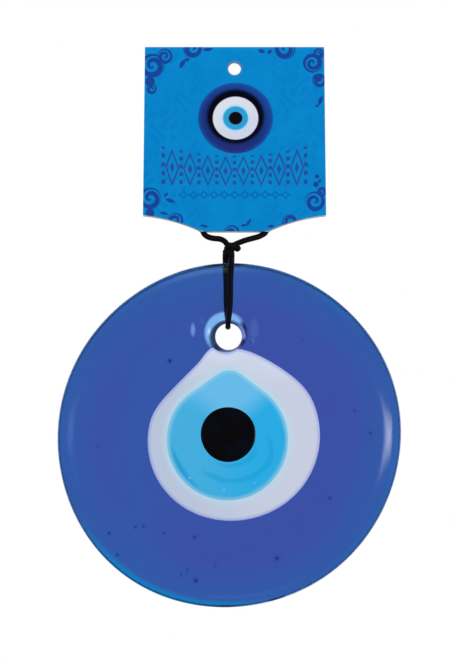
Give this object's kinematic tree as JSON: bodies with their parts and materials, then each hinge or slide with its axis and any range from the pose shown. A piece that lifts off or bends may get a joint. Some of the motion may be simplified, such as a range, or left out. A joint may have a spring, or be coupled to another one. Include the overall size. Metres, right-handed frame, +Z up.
{
  "type": "glass evil eye ornament",
  "caption": "Round pressed cobalt glass amulet with a layered drop-shaped eye, hung by a knotted black cord from a folded printed hang card.",
  "frame": {"origin": "centre of the card's peg hole, midway between the card's two panels", "axes": "+Z up, as the ornament hangs; the printed front of the card and the eye face -Y; +X is to the right of someone who looks at the front"},
  "size_m": [0.12, 0.0126, 0.1955],
  "materials": {
    "cobalt_glass": "clear cobalt glass, fire-polished",
    "white_glass": "opaque milk-white glass, glossy",
    "turquoise_glass": "opaque turquoise glass with faint swirls, glossy",
    "black_glass": "opaque black glass, glossy",
    "printed_card": "printed paperboard, satin lacquer",
    "satin_cord": "black satin rattail cord"
  },
  "bodies": {
    "card": {"card_front": "printed_card", "cord_card_loop": "satin_cord"},
    "card_flap": {"card_back": "printed_card"},
    "yoke": {"cord_branch_left": "satin_cord", "cord_branch_right": "satin_cord", "knot": "satin_cord", "knot_tail": "satin_cord"},
    "neck": {"cord_neck": "satin_cord"},
    "sling": {"sling_front": "satin_cord", "sling_back": "satin_cord"},
    "glass": {"glass_disc": "cobalt_glass", "eye_white": "white_glass", "eye_iris": "turquoise_glass", "eye_pupil": "black_glass"}
  },
  "joints": [
    {"name": "card_opens", "type": "hinge", "parent": "card", "child": "card_flap", "pos_m": [0, 0, 0.00752], "axis": [1, 0, 0], "range_deg": [0, 150]},
    {"name": "cord_folds", "type": "hinge", "parent": "card", "child": "yoke", "pos_m": [0, 0, -0.0582], "axis": [1, 0, 0], "range_deg": [-90, 90]},
    {"name": "glass_swings", "type": "hinge", "parent": "yoke", "child": "neck", "pos_m": [-0.0021, 0, -0.0621], "axis": [0, 1, 0], "range_deg": [-35, 35]},
    {"name": "glass_twists", "type": "hinge", "parent": "neck", "child": "sling", "pos_m": [-0.0021, 0, -0.066], "axis": [0, 0, 1], "range_deg": [-180, 180], "stiffness_Nm_per_rad": 0.0005},
    {"name": "glass_rocks", "type": "hinge", "parent": "sling", "child": "glass", "pos_m": [-0.0021, 0, -0.09], "axis": [0, 1, 0], "range_deg": [-15, 15]}
  ]
}
